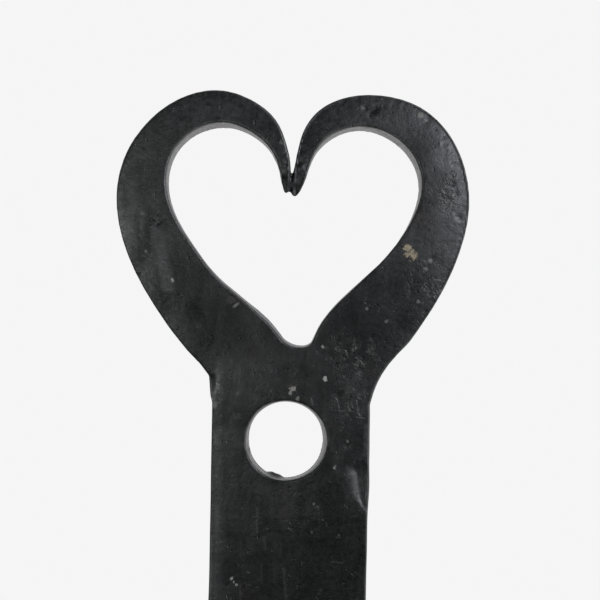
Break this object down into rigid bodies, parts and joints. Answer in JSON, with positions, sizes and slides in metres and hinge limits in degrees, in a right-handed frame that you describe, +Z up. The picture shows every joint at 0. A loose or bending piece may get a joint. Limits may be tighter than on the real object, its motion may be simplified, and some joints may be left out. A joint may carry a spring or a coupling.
{
  "type": "strap hinge",
  "caption": "Hand-forged strap hinge with a split, scrolled heart end, its rolled eye hung on an upright plate pintle.",
  "frame": {"origin": "centre of the jamb plate's four screw holes, on the plate's back face", "axes": "+Z up along the hinge pin; +X from the jamb plate along the closed strap to the heart; +Y into the door and the jamb, so the seen front faces -Y"},
  "size_m": [0.467, 0.0285, 0.1247],
  "materials": {
    "strap_iron": "satin",
    "plate_iron": "satin",
    "rivet_iron": "satin",
    "pin_steel": "satin"
  },
  "bodies": {
    "pintle": {"pintle_plate": "plate_iron", "pintle_bracket": "plate_iron", "pintle_pin": "pin_steel", "bracket_rivet_1": "rivet_iron", "bracket_rivet_2": "rivet_iron"},
    "washer": {"thrust_washer": "pin_steel"},
    "strap": {"heart_strap": "strap_iron", "eye_rivet_1": "rivet_iron", "eye_rivet_2": "rivet_iron"}
  },
  "joints": [
    {"name": "swing", "type": "hinge", "parent": "pintle", "child": "washer", "pos_m": [0.042, -0.01425, 0.015], "axis": [0, 0, -1], "range_deg": [0, 180]},
    {"name": "lift", "type": "slide", "parent": "washer", "child": "strap", "axis": [0, 0, 1], "range_m": [0, 0.045]}
  ]
}
